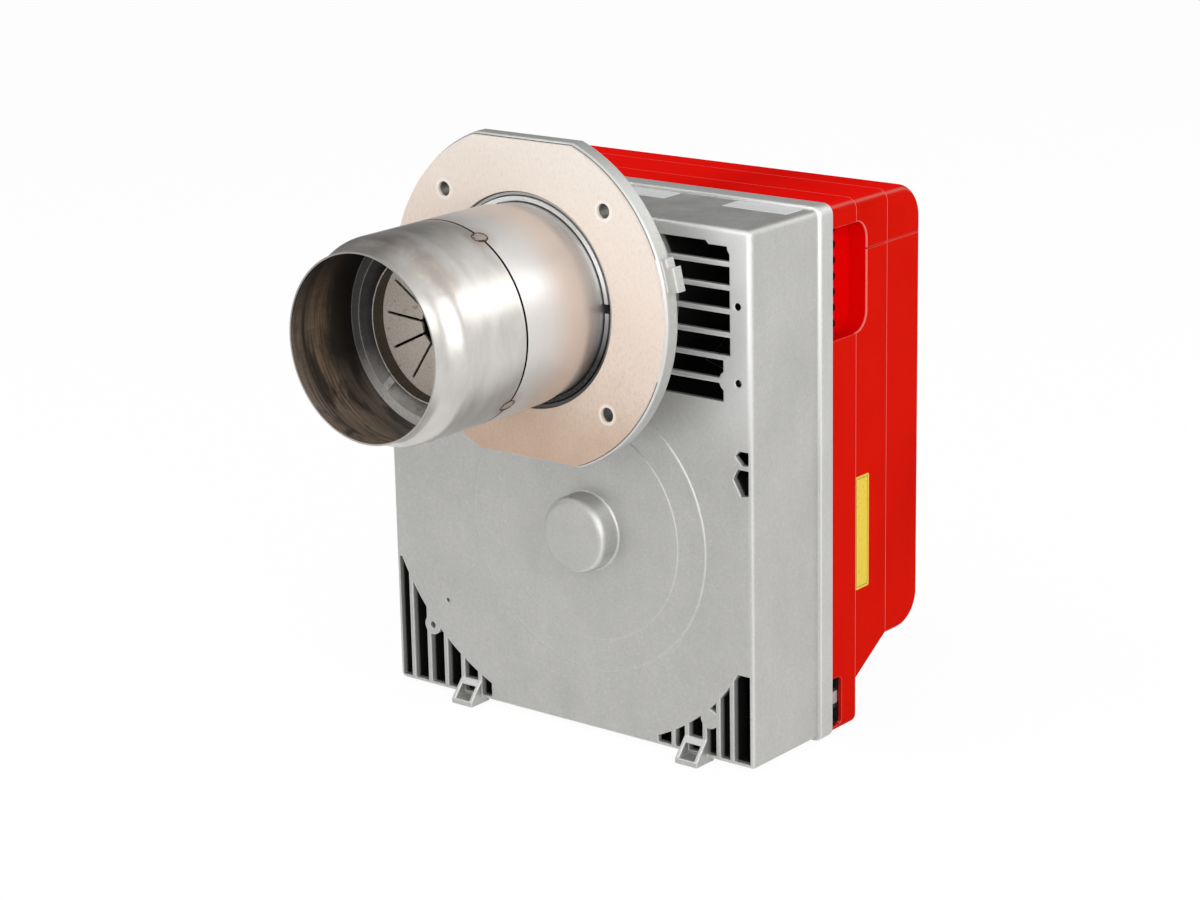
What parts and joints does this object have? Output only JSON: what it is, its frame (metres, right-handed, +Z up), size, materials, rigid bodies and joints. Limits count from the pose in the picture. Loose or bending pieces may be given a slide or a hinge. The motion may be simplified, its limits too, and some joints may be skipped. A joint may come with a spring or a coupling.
{
  "type": "oil burner",
  "caption": "Compact domestic oil burner: slotted cast housing with a square-cut flange and stainless flame tube in front, red cover behind, fan, pump and ignition inside.",
  "frame": {"origin": "on the flame tube's axis, on the face of the gasket that meets the boiler", "axes": "-Y along the flame tube towards the flame, +Y towards the cover, +Z up, +X to the right as seen from the boiler"},
  "size_m": [0.29, 0.3783, 0.3835],
  "materials": {
    "gasket_fibre": "fibrous sheet",
    "cast_aluminium": "satin, as cast",
    "bright_stainless": "brushed",
    "heat_tinted_stainless": "brushed, tinted by heat",
    "weld_bead": "rough",
    "sooted_steel": "matt, stained",
    "zinc_steel": "zinc plated",
    "machined_brass": "machined",
    "plain_aluminium": "machined",
    "glazed_ceramic": "glazed, opaque",
    "black_plastic": "fine grain",
    "grey_plastic": "fine grain",
    "red_plastic": "gloss",
    "motor_paint": "satin",
    "steel_laminations": "stacked sheet",
    "galvanised_steel": "galvanised",
    "copper_tube": "drawn",
    "silicone_rubber": "matt",
    "button_plastic": "gloss"
  },
  "bodies": {
    "base": {"flange_gasket": "gasket_fibre", "mounting_flange": "cast_aluminium", "flange_screws": "zinc_steel", "front_flame_tube": "bright_stainless", "rear_flame_tube": "heat_tinted_stainless", "tube_weld_spots": "weld_bead", "tube_collar": "cast_aluminium", "tube_clamp_screws": "zinc_steel", "mixing_ring": "sooted_steel", "housing_casting": "cast_aluminium", "component_plate": "cast_aluminium", "component_plate_screws": "zinc_steel", "nozzle_door": "cast_aluminium", "nozzle_door_screws": "zinc_steel", "fan_inlet_ring": "black_plastic", "air_intake_box": "black_plastic", "motor_can": "motor_paint", "motor_front_cap": "plain_aluminium", "motor_rear_cap": "plain_aluminium", "motor_bearings": "zinc_steel", "motor_stator": "steel_laminations", "motor_screws": "zinc_steel", "motor_capacitor": "grey_plastic", "capacitor_clip": "galvanised_steel", "oil_pump_body": "plain_aluminium", "oil_pump_cover": "plain_aluminium", "oil_pump_screws": "zinc_steel", "oil_valve_stem": "machined_brass", "oil_valve_coil": "black_plastic", "oil_hose_fittings": "machined_brass", "oil_pipe": "copper_tube", "ignition_unit": "black_plastic", "ignition_leads": "silicone_rubber", "flame_sensor": "black_plastic", "burner_control": "black_plastic", "connector_sockets": "black_plastic", "cover_studs": "zinc_steel"},
    "cover": {"red_cover": "red_plastic", "cover_screws": "zinc_steel"},
    "nozzle_assembly": {"diffuser_cup": "sooted_steel", "diffuser_disc": "sooted_steel", "cup_support": "bright_stainless", "nozzle": "machined_brass", "oil_preheater": "plain_aluminium", "nozzle_lance": "zinc_steel", "lance_union": "machined_brass", "electrode_insulators": "glazed_ceramic", "electrodes": "bright_stainless", "electrode_holder": "plain_aluminium"},
    "adjusting_screw": {"nozzle_adjusting_screw": "zinc_steel"},
    "rotor": {"fan_wheel": "galvanised_steel", "fan_nut": "zinc_steel", "motor_rotor": "steel_laminations", "pump_coupling": "black_plastic", "pump_shaft": "zinc_steel"},
    "damper": {"air_damper_flap": "plain_aluminium", "air_damper_shaft": "zinc_steel", "air_damper_dial": "grey_plastic"},
    "reset_button": {"reset_button": "button_plastic"},
    "pressure_screw": {"oil_pressure_screw": "zinc_steel"}
  },
  "joints": [
    {"name": "cover_lift_off", "type": "slide", "parent": "base", "child": "cover", "axis": [0, 1, 0], "range_m": [0, 0.14]},
    {"name": "nozzle_travel", "type": "slide", "parent": "base", "child": "nozzle_assembly", "axis": [0, -1, 0], "range_m": [0, 0.01]},
    {"name": "nozzle_adjustment", "type": "hinge", "parent": "base", "child": "adjusting_screw", "pos_m": [0, 0.17, 0.018], "axis": [0, 1, 0], "range_deg": [0, 3601]},
    {"name": "fan_spin", "type": "hinge", "parent": "base", "child": "rotor", "pos_m": [0, 0.14, -0.1544], "axis": [0, 1, 0], "continuous": true},
    {"name": "damper_turn", "type": "hinge", "parent": "base", "child": "damper", "pos_m": [0.085, 0.15, -0.089], "axis": [0, 1, 0], "range_deg": [0, 90]},
    {"name": "reset_press", "type": "slide", "parent": "base", "child": "reset_button", "axis": [0, -1, 0], "range_m": [0, 0.002], "stiffness_N_per_m": 800},
    {"name": "pressure_adjustment", "type": "hinge", "parent": "base", "child": "pressure_screw", "pos_m": [0, 0.215, -0.1724], "axis": [0, 1, 0], "range_deg": [0, 720]}
  ],
  "couplings": [
    {"joint": "nozzle_adjustment", "follows": "nozzle_travel", "rad_per_m": 6283.2}
  ]
}
